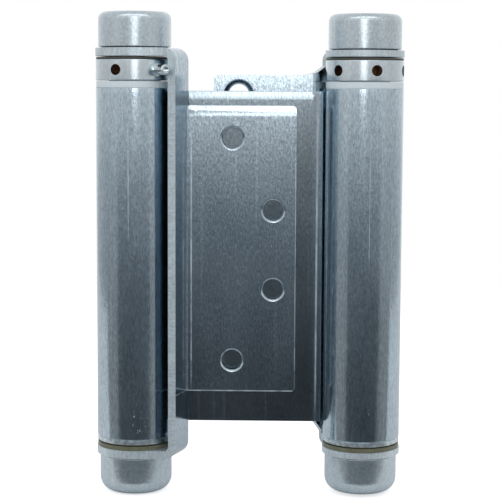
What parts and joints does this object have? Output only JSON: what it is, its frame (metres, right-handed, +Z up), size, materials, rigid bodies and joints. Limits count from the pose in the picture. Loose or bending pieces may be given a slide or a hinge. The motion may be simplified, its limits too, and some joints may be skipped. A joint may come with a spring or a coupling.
{
  "type": "double action spring hinge",
  "caption": "Double action spring hinge: two sprung barrels joined by a web, each with a screw-on leaf, so that a door swings both ways and closes itself.",
  "frame": {"origin": "on the jamb leaf's outer face, midway between the two barrels, at the leaf's mid-height", "axes": "+X from the jamb barrel to the door barrel, +Y from the jamb leaf through the case to the door leaf, +Z up along the barrels"},
  "size_m": [0.0952, 0.0332, 0.1496],
  "materials": {
    "case_zinc": "bright zinc plated sheet, fine vertical grain",
    "leaf_zinc": "bright zinc plated sheet, sheared edges",
    "cap_zinc": "bright zinc plated, drawn",
    "collar_zinc": "turned and zinc plated",
    "hub_steel": "dull steel, slightly bronzed",
    "pin_steel": "turned and zinc plated",
    "spindle_steel": "ground steel",
    "spring_steel": "oiled spring wire",
    "plug_steel": "turned and zinc plated",
    "white_plastic": "smooth bearing plastic",
    "grey_washer": "thin bearing washer",
    "olive_washer": "greased bearing washer"
  },
  "bodies": {
    "jamb_leaf": {"jamb_leaf": "leaf_zinc", "jamb_spindle": "spindle_steel", "jamb_spindle_disc": "spindle_steel", "jamb_bottom_washer": "olive_washer", "jamb_top_cap": "cap_zinc", "jamb_bottom_cap": "cap_zinc"},
    "spring_case": {"spring_case": "case_zinc", "jamb_bottom_plug": "plug_steel", "jamb_collar_bush": "white_plastic", "jamb_torsion_spring": "spring_steel", "door_bottom_plug": "plug_steel", "door_collar_bush": "white_plastic", "door_torsion_spring": "spring_steel"},
    "jamb_collar": {"jamb_collar": "collar_zinc", "jamb_collar_hub": "hub_steel", "jamb_ear_washer": "grey_washer"},
    "jamb_pin": {"jamb_tension_pin": "pin_steel"},
    "door_leaf": {"door_leaf": "leaf_zinc", "door_spindle": "spindle_steel", "door_spindle_disc": "spindle_steel", "door_bottom_washer": "olive_washer", "door_top_cap": "cap_zinc", "door_bottom_cap": "cap_zinc"},
    "door_collar": {"door_collar": "collar_zinc", "door_collar_hub": "hub_steel", "door_ear_washer": "grey_washer"},
    "door_pin": {"door_tension_pin": "pin_steel"}
  },
  "joints": [
    {"name": "jamb_hinge", "type": "hinge", "parent": "jamb_leaf", "child": "spring_case", "pos_m": [-0.0355, 0.0038, 0], "axis": [0, 0, 1], "range_deg": [0, 120], "stiffness_Nm_per_rad": 0.9, "springref_deg": -28.65},
    {"name": "door_hinge", "type": "hinge", "parent": "spring_case", "child": "door_leaf", "pos_m": [0.0355, 0.0038, 0], "axis": [0, 0, -1], "range_deg": [0, 120], "stiffness_Nm_per_rad": 0.9, "springref_deg": -28.65},
    {"name": "jamb_collar_turn", "type": "hinge", "parent": "jamb_leaf", "child": "jamb_collar", "pos_m": [-0.0355, 0.0038, 0], "axis": [0, 0, -1], "range_deg": [0, 120], "stiffness_Nm_per_rad": 0.05, "springref_deg": -57.3},
    {"name": "door_collar_turn", "type": "hinge", "parent": "door_leaf", "child": "door_collar", "pos_m": [0.0355, 0.0038, 0], "axis": [0, 0, -1], "range_deg": [0, 120], "stiffness_Nm_per_rad": 0.05, "springref_deg": -57.3},
    {"name": "jamb_pin_pull", "type": "slide", "parent": "jamb_collar", "child": "jamb_pin", "axis": [0.592, -0.806, 0], "range_m": [0, 0.006]},
    {"name": "door_pin_pull", "type": "slide", "parent": "door_collar", "child": "door_pin", "axis": [-0.2602, 0.9656, 0], "range_m": [0, 0.006]}
  ]
}
